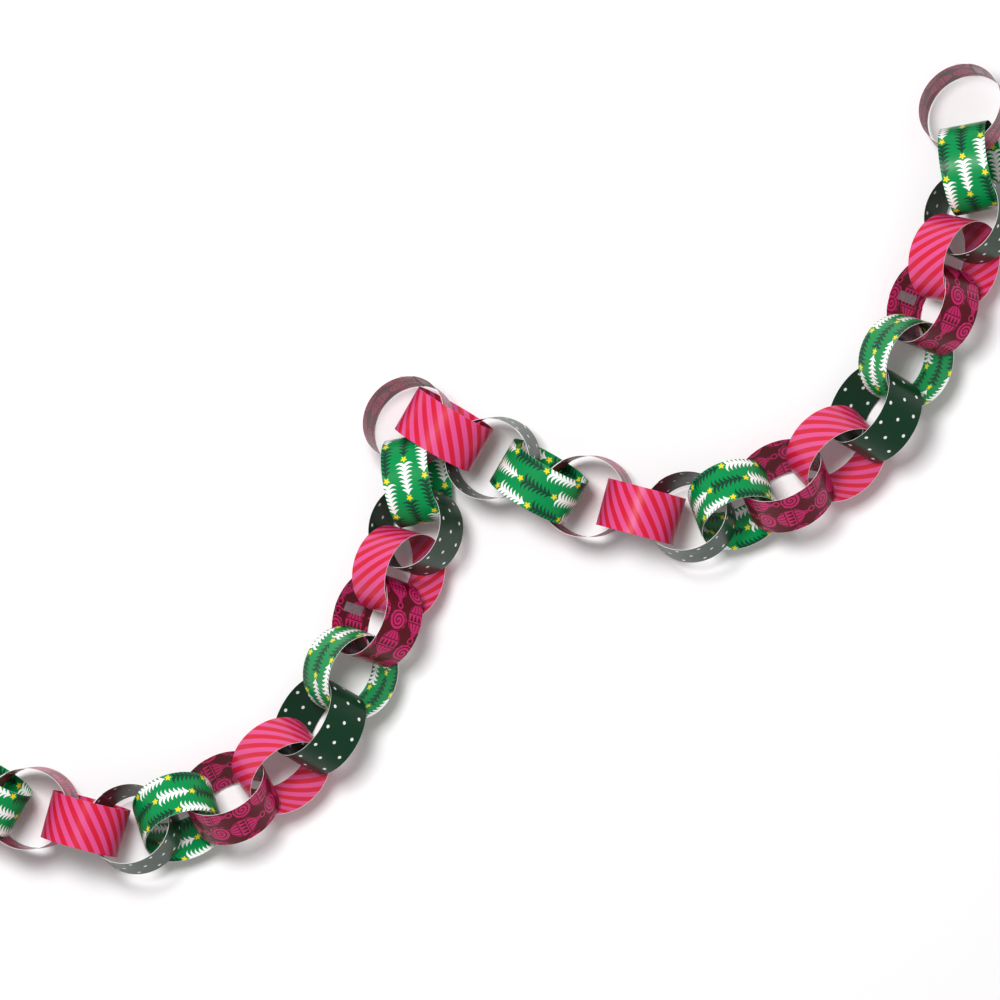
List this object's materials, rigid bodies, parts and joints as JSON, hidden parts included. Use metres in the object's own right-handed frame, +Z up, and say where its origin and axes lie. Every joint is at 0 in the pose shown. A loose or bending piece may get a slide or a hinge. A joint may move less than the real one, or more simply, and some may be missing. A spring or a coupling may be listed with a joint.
{
  "type": "paper chain garland",
  "caption": "Slack garland of interlinked paper loops lying flat on a table, each a printed strip bent round and glued at a short lap, with fir tree, bauble, stripe and dot prints in turn.",
  "frame": {"origin": "under the middle of the garland's bounding box, on the table it lies on", "axes": "+Z is up from the table; +X runs along the longer side of the space the garland takes up, from its low left end to its high right end"},
  "size_m": [0.7886, 0.59, 0.0713],
  "materials": {
    "trees_paper": "satin coated paper, bright green, printed on both faces with white and dark green fir trees tipped with yellow stars",
    "baubles_paper": "satin coated paper, maroon, printed on both faces with magenta baubles and round scrolls",
    "stripes_paper": "satin coated paper, printed on both faces with slanting pink and red stripes of equal width",
    "dots_paper": "satin coated paper, dark green, printed on both faces with small staggered white dots"
  },
  "bodies": {
    "root": {"link_01_trees": "trees_paper", "link_02_baubles": "baubles_paper", "link_03_stripes": "stripes_paper", "link_04_dots": "dots_paper", "link_05_trees": "trees_paper", "link_06_baubles": "baubles_paper", "link_07_stripes": "stripes_paper", "link_08_dots": "dots_paper", "link_09_trees": "trees_paper", "link_10_baubles": "baubles_paper", "link_11_stripes": "stripes_paper", "link_12_dots": "dots_paper", "link_13_trees": "trees_paper", "link_14_baubles": "baubles_paper", "link_15_stripes": "stripes_paper", "link_16_dots": "dots_paper", "link_17_trees": "trees_paper", "link_18_baubles": "baubles_paper", "link_19_stripes": "stripes_paper", "link_20_dots": "dots_paper", "link_21_trees": "trees_paper", "link_22_baubles": "baubles_paper", "link_23_stripes": "stripes_paper", "link_24_dots": "dots_paper", "link_25_trees": "trees_paper", "link_26_baubles": "baubles_paper", "link_27_stripes": "stripes_paper", "link_28_dots": "dots_paper", "link_29_trees": "trees_paper", "link_30_baubles": "baubles_paper"}
  },
  "joints": []
}
